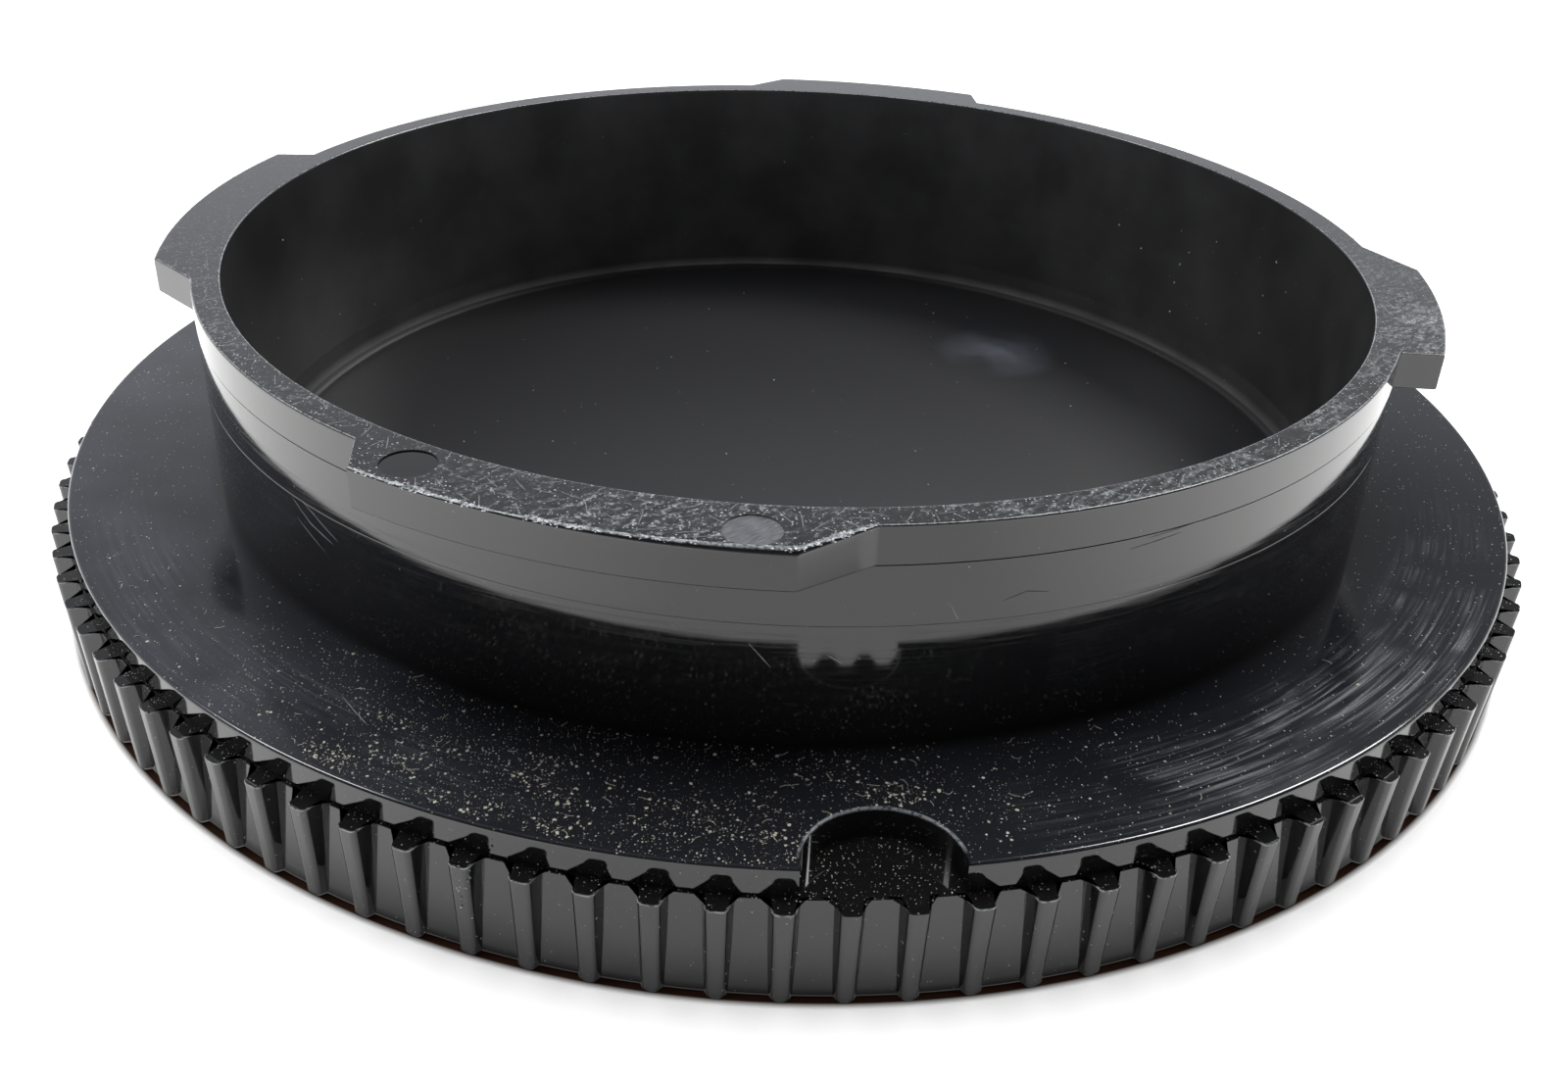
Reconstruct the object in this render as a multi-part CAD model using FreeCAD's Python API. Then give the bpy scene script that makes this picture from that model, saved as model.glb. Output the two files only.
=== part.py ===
import FreeCAD, Part
import math
import os

# A camera body cap: one moulded piece of glossy black plastic. It stands on its outer face, at z = 0,
# with the bayonet collar upwards. The axis is +Z, and the index notch in the flange lies on -Y.
# All sizes are in millimetres and all angles in degrees, counted from +X towards +Y.

# Flange: a thick disc whose top is the seat against the camera.
FLANGE_RADIUS = 29.0
FLANGE_HEIGHT = 4.6
BAND_HEIGHT = 1.0
FLANGE_EDGE_ROUND = 0.12

# Grip: the lower part of the flange's wall stands out by a narrow ledge and carries fine ribs.
LEDGE_WIDTH = 0.18
LAND_FLARE = 0.2
FOOT_BEVEL = 0.12
RIB_COUNT = 100
RIB_REACH_TOP = 0.75
RIB_REACH_FOOT = 0.55
RIB_CREST_TOP = 0.70
RIB_CREST_FOOT = 0.52
RIB_FLANK_DRAFT = 10.0
RIB_EDGE_ROUND = 0.19
RIB_SEAT = 0.4

# Index notch: a half-round pocket in the flange's edge, down to the ledge.
NOTCH_RADIUS = 2.35
NOTCH_SET_IN = 0.2
NOTCH_EDGE_ROUND = 0.06
NOTCH_ANGLE = -90.0

# Collar: a thin tube that enters the camera's throat, closed by the floor.
COLLAR_RADIUS = 23.5
COLLAR_WALL = 1.05
COLLAR_HEIGHT = 7.7
COLLAR_FOOT_ROUND = 0.25
RIM_EDGE_ROUND = 0.07
FLOOR_THICKNESS = 2.5
FLOOR_ROUND = 0.9

# Bayonet lugs, flush with the rim. Each has a steep stop end and a sloping ramp end. The four are
# unequal, so that the cap goes in only one way round. Each row holds the angle of the stop corner and
# of the ramp corner on the lug's outer face, and how far each end spreads at the collar.
LUG_REACH = 1.45
LUG_THICKNESS = 1.35
LUG_EDGE_ROUND = 0.07
LUGS = {
    "front": (-127.1, -95.4, 2.9, 5.5),
    "right": (-28.6, -8.2, 1.3, 6.0),
    "back": (63.1, 86.8, 1.8, 4.2),
    "left": (155.8, 186.8, 1.6, 5.5),
}

# Ejector pin marks: round shallow dents in the top of the front lug. Each row holds how far the mark's
# centre lies outside the collar, and its angle.
PIN_MARK_RADIUS = 0.87
PIN_MARK_DEPTH = 0.04
PIN_MARKS = ((0.25, -124.1), (0.45, -98.4))

LEDGE_Z = FLANGE_HEIGHT - BAND_HEIGHT
LAND_RADIUS_TOP = FLANGE_RADIUS + LEDGE_WIDTH
LAND_RADIUS_FOOT = LAND_RADIUS_TOP + LAND_FLARE
RIM_Z = FLANGE_HEIGHT + COLLAR_HEIGHT
BORE_RADIUS = COLLAR_RADIUS - COLLAR_WALL
LUG_RADIUS = COLLAR_RADIUS + LUG_REACH
MID_WALL_RADIUS = COLLAR_RADIUS - COLLAR_WALL / 2
AXIS = FreeCAD.Vector(0, 0, 1)
ORIGIN = FreeCAD.Vector(0, 0, 0)

# The cutting tools run on this far past what they cut, and points nearer than TOUCH count as one.
OVERRUN = 1.0
TOUCH = 0.001


def polar(radius, angle, z=0.0):
    """The point at a radius and an angle about the axis."""
    turn = math.radians(angle)
    return FreeCAD.Vector(radius * math.cos(turn), radius * math.sin(turn), z)


def section(radius, z):
    """The point of a half section, which lies in the XZ plane."""
    return FreeCAD.Vector(radius, 0, z)


def straight(start, end):
    return Part.LineSegment(start, end).toShape()


def quarter(start, end, centre):
    """A quarter circle from start to end about centre, on the side away from the corner's middle."""
    middle = (start - centre) + (end - centre)
    middle.normalize()
    radius = (start - centre).Length
    return Part.Arc(start, centre + middle * radius, end).toShape()


def turned(edges):
    """The solid made by turning a closed half section about the axis."""
    face = Part.Face(Part.Wire(edges))
    return face.revolve(ORIGIN, AXIS, 360)


def turned_body():
    """Flange, floor and collar as one turned solid, without ribs, notch and lugs."""
    foot_in = section(LAND_RADIUS_FOOT - FOOT_BEVEL, 0)
    foot_out = section(LAND_RADIUS_FOOT, FOOT_BEVEL)
    ledge_out = section(LAND_RADIUS_TOP, LEDGE_Z)
    ledge_in = section(FLANGE_RADIUS, LEDGE_Z)
    edge_low = section(FLANGE_RADIUS, FLANGE_HEIGHT - FLANGE_EDGE_ROUND)
    edge_high = section(FLANGE_RADIUS - FLANGE_EDGE_ROUND, FLANGE_HEIGHT)
    seat_in = section(COLLAR_RADIUS + COLLAR_FOOT_ROUND, FLANGE_HEIGHT)
    collar_low = section(COLLAR_RADIUS, FLANGE_HEIGHT + COLLAR_FOOT_ROUND)
    rim_out_low = section(COLLAR_RADIUS, RIM_Z - RIM_EDGE_ROUND)
    rim_out = section(COLLAR_RADIUS - RIM_EDGE_ROUND, RIM_Z)
    rim_in = section(BORE_RADIUS + RIM_EDGE_ROUND, RIM_Z)
    rim_in_low = section(BORE_RADIUS, RIM_Z - RIM_EDGE_ROUND)
    bore_low = section(BORE_RADIUS, FLOOR_THICKNESS + FLOOR_ROUND)
    floor_out = section(BORE_RADIUS - FLOOR_ROUND, FLOOR_THICKNESS)
    floor_mid = section(0, FLOOR_THICKNESS)
    return turned([
        straight(ORIGIN, foot_in),
        straight(foot_in, foot_out),
        straight(foot_out, ledge_out),
        straight(ledge_out, ledge_in),
        straight(ledge_in, edge_low),
        quarter(edge_low, edge_high, section(edge_high.x, edge_low.z)),
        straight(edge_high, seat_in),
        quarter(seat_in, collar_low, section(seat_in.x, collar_low.z)),
        straight(collar_low, rim_out_low),
        quarter(rim_out_low, rim_out, section(rim_out.x, rim_out_low.z)),
        straight(rim_out, rim_in),
        quarter(rim_in, rim_in_low, section(rim_in.x, rim_in_low.z)),
        straight(rim_in_low, bore_low),
        quarter(bore_low, floor_out, section(floor_out.x, bore_low.z)),
        straight(floor_out, floor_mid),
        straight(floor_mid, ORIGIN),
    ])


def rib_section(z, reach, crest):
    """The four corners of the rib at one height. Its flanks run on into the flange as far as its seat."""
    crest_radius = FLANGE_RADIUS + reach
    seat_radius = FLANGE_RADIUS - RIB_SEAT
    seat_half = crest / 2 + math.tan(math.radians(RIB_FLANK_DRAFT)) * (crest_radius - seat_radius)
    return [
        FreeCAD.Vector(seat_radius, -seat_half, z),
        FreeCAD.Vector(crest_radius, -crest / 2, z),
        FreeCAD.Vector(crest_radius, crest / 2, z),
        FreeCAD.Vector(seat_radius, seat_half, z),
    ]


def flat_face(*corners):
    return Part.Face(Part.makePolygon(list(corners) + [corners[0]]))


def foot_envelope():
    """A turned solid that bevels the lower front edge of a rib."""
    radius = FLANGE_RADIUS + RIB_REACH_FOOT
    outside = FLANGE_RADIUS + RIB_REACH_TOP + OVERRUN
    foot_in = section(radius - FOOT_BEVEL, 0)
    foot_out = section(radius, FOOT_BEVEL)
    clear_low = section(outside, FOOT_BEVEL)
    clear_high = section(outside, LEDGE_Z)
    top_mid = section(0, LEDGE_Z)
    return turned([
        straight(ORIGIN, foot_in),
        straight(foot_in, foot_out),
        straight(foot_out, clear_low),
        straight(clear_low, clear_high),
        straight(clear_high, top_mid),
        straight(top_mid, ORIGIN),
    ])


def one_rib():
    """A drafted rib on +X: flat crest and flanks, rounded front edges, and less reach towards the foot."""
    foot = rib_section(0, RIB_REACH_FOOT, RIB_CREST_FOOT)
    top = rib_section(LEDGE_Z, RIB_REACH_TOP, RIB_CREST_TOP)
    sides = [flat_face(foot[i - 1], foot[i], top[i], top[i - 1]) for i in range(len(foot))]
    rib = Part.Solid(Part.Shell([flat_face(*reversed(foot)), flat_face(*top)] + sides))
    front_edges = [
        edge for edge in rib.Edges
        if all(vertex.X > FLANGE_RADIUS for vertex in edge.Vertexes)
        and abs(edge.Vertexes[0].Z - edge.Vertexes[1].Z) > TOUCH
    ]
    rib = rib.makeFillet(RIB_EDGE_ROUND, front_edges)
    return rib.common(foot_envelope())


def all_ribs():
    """The ribs all round. The notch lies midway between two of them."""
    rib = one_rib()
    pitch = 360.0 / RIB_COUNT
    ribs = []
    for index in range(RIB_COUNT):
        copy = rib.copy()
        copy.rotate(ORIGIN, AXIS, NOTCH_ANGLE + pitch * (index + 0.5))
        ribs.append(copy)
    return ribs


def lug(stop_angle, ramp_angle, stop_spread, ramp_spread):
    """One bayonet lug: its outline on the rim plane, made as thick as it is, with a softened top edge."""
    low = RIM_Z - LUG_THICKNESS
    stop_in = polar(MID_WALL_RADIUS, stop_angle - stop_spread, low)
    stop_foot = polar(COLLAR_RADIUS, stop_angle - stop_spread, low)
    stop_out = polar(LUG_RADIUS, stop_angle, low)
    ramp_out = polar(LUG_RADIUS, ramp_angle, low)
    ramp_foot = polar(COLLAR_RADIUS, ramp_angle + ramp_spread, low)
    ramp_in = polar(MID_WALL_RADIUS, ramp_angle + ramp_spread, low)
    middle = (stop_angle + ramp_angle) / 2
    outline = Part.Wire([
        straight(stop_in, stop_foot),
        straight(stop_foot, stop_out),
        Part.Arc(stop_out, polar(LUG_RADIUS, middle, low), ramp_out).toShape(),
        straight(ramp_out, ramp_foot),
        straight(ramp_foot, ramp_in),
        Part.Arc(ramp_in, polar(MID_WALL_RADIUS, middle, low), stop_in).toShape(),
    ])
    solid = Part.Face(outline).extrude(AXIS * LUG_THICKNESS)
    top_edges = [
        edge for edge in solid.Edges
        if min(vertex.Z for vertex in edge.Vertexes) > RIM_Z - TOUCH
        and max(math.hypot(vertex.X, vertex.Y) for vertex in edge.Vertexes) > COLLAR_RADIUS + TOUCH
    ]
    return solid.makeFillet(LUG_EDGE_ROUND, top_edges)


def notch_cutter():
    """The tool for the index notch, flared at the seat so that the notch gets a softened edge."""
    floor = section(0, LEDGE_Z)
    floor_out = section(NOTCH_RADIUS, LEDGE_Z)
    wall_top = section(NOTCH_RADIUS, FLANGE_HEIGHT - NOTCH_EDGE_ROUND)
    flare_out = section(NOTCH_RADIUS + NOTCH_EDGE_ROUND, FLANGE_HEIGHT)
    clear_out = section(flare_out.x, FLANGE_HEIGHT + OVERRUN)
    clear_mid = section(0, FLANGE_HEIGHT + OVERRUN)
    tool = turned([
        straight(floor, floor_out),
        straight(floor_out, wall_top),
        quarter(wall_top, flare_out, section(flare_out.x, wall_top.z)),
        straight(flare_out, clear_out),
        straight(clear_out, clear_mid),
        straight(clear_mid, floor),
    ])
    tool.translate(polar(FLANGE_RADIUS - NOTCH_SET_IN, NOTCH_ANGLE))
    return tool


def pin_mark_cutter(outset, angle):
    """The shallow round dent that an ejector pin leaves in the rim plane."""
    floor_centre = polar(COLLAR_RADIUS + outset, angle, RIM_Z - PIN_MARK_DEPTH)
    return Part.makeCylinder(PIN_MARK_RADIUS, PIN_MARK_DEPTH + OVERRUN, floor_centre)


def body_cap():
    """The whole cap as one solid."""
    lugs = [lug(*row) for row in LUGS.values()]
    cap = turned_body().fuse(lugs + all_ribs())
    cap = cap.removeSplitter()
    cutters = [notch_cutter()] + [pin_mark_cutter(*mark) for mark in PIN_MARKS]
    cap = cap.cut(cutters)
    return cap.removeSplitter()


shape = body_cap()
os.makedirs("parts", exist_ok=True)
shape.exportStep("parts/body_cap.step")
print("valid", shape.isValid(), "solids", len(shape.Solids), "faces", len(shape.Faces))
print("volume mm3", round(shape.Volume, 1), "box", shape.BoundBox)
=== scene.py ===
"""Looks of a camera body cap: one black plastic moulding that stands on a white table."""

import math
import random

import bmesh
import bpy
from mathutils import Matrix, Quaternion, Vector


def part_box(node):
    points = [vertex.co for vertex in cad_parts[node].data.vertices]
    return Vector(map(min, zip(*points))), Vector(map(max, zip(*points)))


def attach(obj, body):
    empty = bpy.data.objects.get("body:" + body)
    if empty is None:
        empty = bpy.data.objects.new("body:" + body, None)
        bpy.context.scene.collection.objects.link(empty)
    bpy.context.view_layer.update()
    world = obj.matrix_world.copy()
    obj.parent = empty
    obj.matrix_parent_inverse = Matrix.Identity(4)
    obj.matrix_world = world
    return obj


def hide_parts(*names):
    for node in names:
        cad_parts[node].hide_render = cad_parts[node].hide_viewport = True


bl_info = {
    "name": "Body cap looks",
    "version": (1, 0, 0),
    "blender": (4, 5, 0),
    "location": "View3D > Sidebar > Body cap",
    "description": "Moulded bayonet cap with ribbed grip, worn rim, dust and its table",
    "category": "Object",
}

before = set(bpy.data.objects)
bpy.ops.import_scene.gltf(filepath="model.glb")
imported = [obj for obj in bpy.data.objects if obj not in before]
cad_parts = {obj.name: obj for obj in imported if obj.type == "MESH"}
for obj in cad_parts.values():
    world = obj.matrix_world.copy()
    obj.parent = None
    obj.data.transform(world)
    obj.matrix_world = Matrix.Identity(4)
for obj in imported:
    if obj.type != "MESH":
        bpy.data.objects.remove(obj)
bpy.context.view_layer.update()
CAD_NODE = "body_cap"
CAP_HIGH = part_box(CAD_NODE)[1]

MM = 0.001
FULL_TURN = 2 * math.pi

# The photograph's frame, in pixels, and the lens that fits its circles. The camera's place is in millimetres,
# and its heading, pitch and roll are in degrees.
PHOTO_WIDTH = 1600
PHOTO_FOCAL_LENGTH = 1589.4
SENSOR_WIDTH_MM = 36.0
CAMERA_PLACE = (-6.522, -60.627, 33.962)
CAMERA_TURNS = (-6.025, 30.62, 2.46)

# The soft overhead lamp, and the lamps that only the gloss sees: name, azimuth and elevation in degrees,
# distance and size in metres, and power in watts.
OVERHEAD = ("overhead", 90, 72, 0.8, 0.7, 9.0)
GLINTS = (("right_glint", 38, 50, 0.8, 0.3, 4.5), ("left_glint", 158, 51, 0.8, 0.22, 1.6))
TABLE_HALF_SIZE = 1.5
# Greys of the room behind the cap, and on the camera's side, as (degrees above the table, grey).
ROOM_BEHIND = ((0, 0.95), (18, 0.8), (25, 0.5), (30, 0.36), (40, 0.22), (60, 0.16), (90, 0.12))
ROOM_IN_FRONT = ((0, 0.8), (8, 0.35), (20, 0.08), (55, 0.05), (75, 0.08), (90, 0.12))
# Red, green and blue of those greys, a little cool.
ROOM_TINT = (0.97, 0.99, 1.05)


# Sizes and colours that a user would change


class CapSizes(bpy.types.PropertyGroup):
    """Sizes of the cap's features. Its height and reach come from the frame."""

    flange_radius: bpy.props.FloatProperty(
        name="Flange radius", description="Radius of the smooth band under the seat",
        default=29.0 * MM, unit="LENGTH", precision=5)
    flange_height: bpy.props.FloatProperty(
        name="Flange height", description="Height of the seat above the table",
        default=4.6 * MM, unit="LENGTH", precision=5)
    flange_round: bpy.props.FloatProperty(
        name="Flange edge round", description="Radius of the seat's outer edge",
        default=0.12 * MM, unit="LENGTH", precision=5)
    band_height: bpy.props.FloatProperty(
        name="Band height", description="Height of the smooth band above the ribbed grip",
        default=1.0 * MM, unit="LENGTH", precision=5)
    ledge_width: bpy.props.FloatProperty(
        name="Ledge width", description="Step from the band out to the grip",
        default=0.11 * MM, unit="LENGTH", precision=5)
    land_flare: bpy.props.FloatProperty(
        name="Land flare", description="How far the grip's wall leans out towards its foot",
        default=0.2 * MM, unit="LENGTH", precision=5)
    foot_bevel: bpy.props.FloatProperty(
        name="Foot bevel", description="Bevel along the foot of the grip",
        default=0.12 * MM, unit="LENGTH", precision=5)
    rib_count: bpy.props.IntProperty(
        name="Ribs", description="Number of ribs round the grip", default=100)
    rib_reach_foot: bpy.props.FloatProperty(
        name="Rib reach at the foot", description="How far a rib's foot stands out from the band",
        default=0.55 * MM, unit="LENGTH", precision=5)
    rib_crest_top: bpy.props.FloatProperty(
        name="Rib width at the top", description="Width of a rib's front at the ledge",
        default=0.61 * MM, unit="LENGTH", precision=5)
    rib_crest_foot: bpy.props.FloatProperty(
        name="Rib width at the foot", description="Width of a rib's front at its foot",
        default=0.46 * MM, unit="LENGTH", precision=5)
    rib_draft_top: bpy.props.FloatProperty(
        name="Rib draft at the top", description="Lean of a rib's flanks at the ledge",
        default=math.radians(13.0), subtype="ANGLE")
    rib_draft_foot: bpy.props.FloatProperty(
        name="Rib draft at the foot", description="Lean of a rib's flanks at its foot",
        default=math.radians(24.0), subtype="ANGLE")
    rib_round: bpy.props.FloatProperty(
        name="Rib edge round", description="Radius of a rib's front edges",
        default=0.21 * MM, unit="LENGTH", precision=5)
    notch_radius: bpy.props.FloatProperty(
        name="Notch radius", description="Radius of the index notch",
        default=2.35 * MM, unit="LENGTH", precision=5)
    notch_set_in: bpy.props.FloatProperty(
        name="Notch set-in", description="How far the notch's centre lies inside the band",
        default=0.2 * MM, unit="LENGTH", precision=5)
    notch_round: bpy.props.FloatProperty(
        name="Notch edge round", description="Radius of the notch's upper edge",
        default=0.06 * MM, unit="LENGTH", precision=5)
    collar_radius: bpy.props.FloatProperty(
        name="Collar radius", description="Outer radius of the collar",
        default=23.5 * MM, unit="LENGTH", precision=5)
    collar_wall: bpy.props.FloatProperty(
        name="Collar wall", description="Thickness of the collar's wall",
        default=1.05 * MM, unit="LENGTH", precision=5)
    rim_round: bpy.props.FloatProperty(
        name="Rim round", description="Radius of the rim's and the lugs' upper edges",
        default=0.07 * MM, unit="LENGTH", precision=5)
    floor_thickness: bpy.props.FloatProperty(
        name="Floor thickness", description="Height of the floor above the table",
        default=2.5 * MM, unit="LENGTH", precision=5)
    floor_round: bpy.props.FloatProperty(
        name="Floor fillet", description="Fillet between the floor and the bore",
        default=0.55 * MM, unit="LENGTH", precision=5)
    lug_reach: bpy.props.FloatProperty(
        name="Lug reach", description="How far the lugs stand out from the collar",
        default=1.45 * MM, unit="LENGTH", precision=5)
    lug_thickness: bpy.props.FloatProperty(
        name="Lug thickness", description="Thickness of the lugs",
        default=1.35 * MM, unit="LENGTH", precision=5)
    pin_mark_radius: bpy.props.FloatProperty(
        name="Pin mark radius", description="Radius of the ejector pin marks",
        default=0.87 * MM, unit="LENGTH", precision=5)
    pin_mark_depth: bpy.props.FloatProperty(
        name="Pin mark depth", description="Depth of the ejector pin marks",
        default=0.04 * MM, unit="LENGTH", precision=5)


class CapColours(bpy.types.PropertyGroup):
    """Colours as sRGB hex values."""

    plastic: bpy.props.StringProperty(
        name="Plastic", description="Body colour of the moulding", default="#151516")
    film: bpy.props.StringProperty(
        name="Film", description="Haze on the floor and the seat", default="#484C58")
    # The haze colour is dust on the bore's wall, and painted light where it lies thicker on the back wall.
    haze: bpy.props.StringProperty(
        name="Haze", description="Neutral haze on the bore's wall", default="#666666")
    # The scuff colour in the rubbed arcs is partly a painted sheen.
    scuff: bpy.props.StringProperty(
        name="Scuff", description="Matt plastic on the rim and in the rubbed arcs", default="#6C7074")
    # The scratch colour on the worn edges is partly a painted highlight.
    scratch: bpy.props.StringProperty(
        name="Scratch", description="Scratches and worn edges", default="#B9BEC2")
    dust: bpy.props.StringProperty(
        name="Dust", description="Grains of dust and lint", default="#C8C2B2")
    torn: bpy.props.StringProperty(
        name="Torn plastic", description="Whitened burr on the front lug", default="#E2E5E7")
    # The foot colour is a painted shadow on the table close to the grip's foot.
    foot: bpy.props.StringProperty(
        name="Foot shade", description="Brown shade on the table close to the grip's foot", default="#4A2E20")
    table: bpy.props.StringProperty(
        name="Table", description="Colour of the table and of the surroundings", default="#F4F4F2")


# Lugs: stop corner, ramp corner, spread of the stop end and of the ramp end, in degrees about the axis.
LUGS = {
    "front": (-127.1, -95.4, 2.9, 5.5),
    "right": (-28.6, -8.2, 1.3, 6.0),
    "back": (63.1, 86.8, 1.8, 4.2),
    "left": (155.8, 186.8, 1.6, 5.5),
}
# Ejector pin marks on the front lug: how far outside the collar, and the angle in degrees.
PIN_MARKS = ((0.25 * MM, -124.1), (0.45 * MM, -98.4))
NOTCH_ANGLE = math.radians(-90.0)
# Tears along the front lug's upper edge: angle in degrees, size, and half their spread in degrees.
BURR_TEARS = ((-125.5, 0.3, 1.5), (-121.5, 1.0, 1.6), (-118.0, 0.5, 1.8), (-112.2, 0.9, 0.9), (-109.5, 0.5, 1.8),
              (-104.0, 0.25, 2.0), (-95.0, 0.4, 1.6), (-92.5, 0.7, 1.5), (-90.6, 0.5, 1.0))
# A pale soft spot on the floor, in millimetres.
PALE_SPOT = (11.4, 10.5, 0)
# A rubbed patch on the right lug, in millimetres.
RUBBED_PATCH = (23.0, -8.8, 0)
# The rib that was struck, as (degrees, height in millimetres).
STRUCK_RIB = (-113.3, 3.1)
# Single scratches: width in millimetres, then points as (radius, degrees, height).
PALE_NICKS = (
    (0.02, ((23.505, -98.5, 8.2), (23.505, -96.9, 7.4))),
    (0.02, ((23.505, -92.9, 7.9), (23.505, -91.8, 7.6))),
    (0.02, ((23.505, -84.4, 9.6), (23.505, -83.6, 9.0))),
    (0.02, ((25.9, -128, 4.603), (26.6, -124, 4.603))),
    (0.03, ((23.505, -139.5, 8.8), (23.505, -137.0, 8.2), (23.505, -134.2, 7.9))),
    (0.025, ((23.505, -137.8, 8.9), (23.505, -133.5, 8.1))),
    (0.02, ((23.505, -139.0, 8.1), (23.505, -135.5, 7.4))),
)
DARK_NICKS = (
    (0.05, ((24.1, -93.6, 11.0), (23.9, -92.6, 11.1), (23.62, -91.0, 11.12))),
    (0.03, ((23.505, -80.4, 9.5), (23.505, -78.6, 9.75), (23.505, -76.8, 9.62))),
    (0.04, ((23.505, -70.5, 10.6), (23.505, -66.0, 10.75))),
    (0.03, ((23.505, -69.0, 10.85), (23.505, -64.0, 10.98))),
)

# Columns in each rib's pitch, and steps in the arcs and in a turned cutter.
COLUMNS_PER_RIB = 16
RIB_ROUND_STEPS = 5
ROUND_STEPS = 4
CUTTER_STEPS = 96
# Small bevels and rows beside the edges, how near two points become one, and where an edge shades sharp.
MICRO_BEVEL = 0.025 * MM
FOOT_INSET = 0.08 * MM
LUG_BEVEL = 0.045 * MM
WEAR_WIDTH = 0.09 * MM
MERGE_DISTANCE = 0.001 * MM
SHARP_ANGLE = math.radians(32)
# The two parting hairlines round the collar: a fine groove, and a fine step below the lugs.
LINE_DEPTH = 0.008 * MM
LINE_HALF_WIDTH = 0.022 * MM
LOWER_LINE_Z = 8.88 * MM
UPPER_PARTING_SHIFT = 0.012 * MM
# The collar's upper edge, above this height, is rubbed rounder near the front lug's ramp.
LUG_MIDDLE_Z = 11.6 * MM
BLUNT_GAIN = 2.6
BLUNT_REACH = math.radians(21.0)

# How many crumbs, steps and clumps the small pieces have, and the seeds that place them.
BURR_SEED = 11
BURR_STEPS = 1100
STRUCK_CRUMBS = 70
DUST_SEED = 23
DUST_CLUMPS = 44
SEAT_CRUMBS = 2300
NOTCH_CRUMBS = 90
WALL_CRUMBS = 34
FLOOR_CRUMBS = 26
NICK_SEED = 5
NICK_STEPS = 14
FIBRE_STEPS = 7


def linear(hex_colour):
    """Linear RGBA of an sRGB hex value."""
    values = [int(hex_colour[i:i + 2], 16) / 255 for i in (1, 3, 5)]
    return [v / 12.92 if v <= 0.04045 else ((v + 0.055) / 1.055) ** 2.4 for v in values] + [1.0]


def add_node(tree, kind, settings):
    """Adds a node. A setting is an input's name or number, with a value or a socket, or an attribute."""
    node = tree.nodes.new(kind)
    for key, value in settings.items():
        if isinstance(key, str) and hasattr(node, key):
            setattr(node, key, value)
        elif isinstance(value, bpy.types.NodeSocket):
            tree.links.new(value, node.inputs[key])
        else:
            node.inputs[key].default_value = value
    return node


def new_material(name):
    """A material without nodes, and its tree."""
    material = bpy.data.materials.new(name)
    material.use_nodes = True
    material.node_tree.nodes.clear()
    return material, material.node_tree


def mesh_of(name, bm):
    """A mesh with what the bmesh holds. The bmesh is freed."""
    mesh = bpy.data.meshes.new(name)
    bm.to_mesh(mesh)
    bm.free()
    return mesh


def linked(name, data):
    """A new object in the scene with this mesh, lamp or camera."""
    made = bpy.data.objects.new(name, data)
    bpy.context.scene.collection.objects.link(made)
    return made


# The moulding


def arc_rows(centre_r, centre_z, radius, start, end, steps):
    """Points of an arc in the half section, from one angle to another in degrees."""
    rows = []
    for index in range(steps + 1):
        angle = math.radians(start + (end - start) * index / steps)
        rows.append((centre_r + radius * math.cos(angle), centre_z + radius * math.sin(angle)))
    return rows


def half_section(s):
    """Rows of the half section as (radius or inset, height, kind), from the base's middle to the floor's.

    A core row is turned plainly, a grip row follows the ribs, and a lug row follows the lugs."""
    rim_z = CAP_HIGH.z
    ledge_z = s.flange_height - s.band_height
    parting_z = rim_z - s.lug_thickness
    bore = s.collar_radius - s.collar_wall
    upper = s.collar_radius + UPPER_PARTING_SHIFT
    rows = [(0.0, 0.0, "core")]
    rows += [(inset, z, "grip") for inset, z in (
        (FOOT_INSET, 0.0), (0.0, s.foot_bevel), (0.0, ledge_z / 2), (0.0, ledge_z - WEAR_WIDTH),
        (0.0, ledge_z - MICRO_BEVEL), (MICRO_BEVEL, ledge_z), (2 * MICRO_BEVEL, ledge_z))]
    rows.append((s.flange_radius, ledge_z, "core"))
    edge = arc_rows(s.flange_radius - s.flange_round, s.flange_height - s.flange_round,
                    s.flange_round, 0, 90, ROUND_STEPS + 2)
    rows.append((s.flange_radius, edge[0][1] - WEAR_WIDTH, "core"))
    rows += [(r, z, "core") for r, z in edge]
    rows.append((edge[-1][0] - WEAR_WIDTH, s.flange_height, "core"))
    rows.append((s.collar_radius, s.flange_height, "core"))
    for depth, z in ((0, LOWER_LINE_Z - LINE_HALF_WIDTH), (LINE_DEPTH, LOWER_LINE_Z),
                     (0, LOWER_LINE_Z + LINE_HALF_WIDTH), (0, parting_z)):
        rows.append((s.collar_radius - depth, z, "core"))
    rows.append((upper - LUG_BEVEL, parting_z, "lug"))
    rows.append((upper, parting_z + LUG_BEVEL, "lug"))
    rows.append((upper, rim_z - s.rim_round - WEAR_WIDTH, "lug"))
    rim = arc_rows(upper - s.rim_round, rim_z - s.rim_round, s.rim_round, 0, 90, ROUND_STEPS)
    rows += [(r, z, "lug") for r, z in rim]
    rows.append((rim[-1][0] - WEAR_WIDTH, rim_z, "lug"))
    inner = arc_rows(bore + s.rim_round, rim_z - s.rim_round, s.rim_round, 90, 180, ROUND_STEPS)
    rows.append((inner[0][0] + WEAR_WIDTH, rim_z, "core"))
    rows += [(r, z, "core") for r, z in inner]
    rows.append((bore, rim_z - s.rim_round - WEAR_WIDTH, "core"))
    fillet = arc_rows(bore - s.floor_round, s.floor_thickness + s.floor_round, s.floor_round, 0, -90,
                      2 * ROUND_STEPS)
    rows += [(r, z, "core") for r, z in fillet]
    rows.append((0.0, s.floor_thickness, "core"))
    return rows


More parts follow.
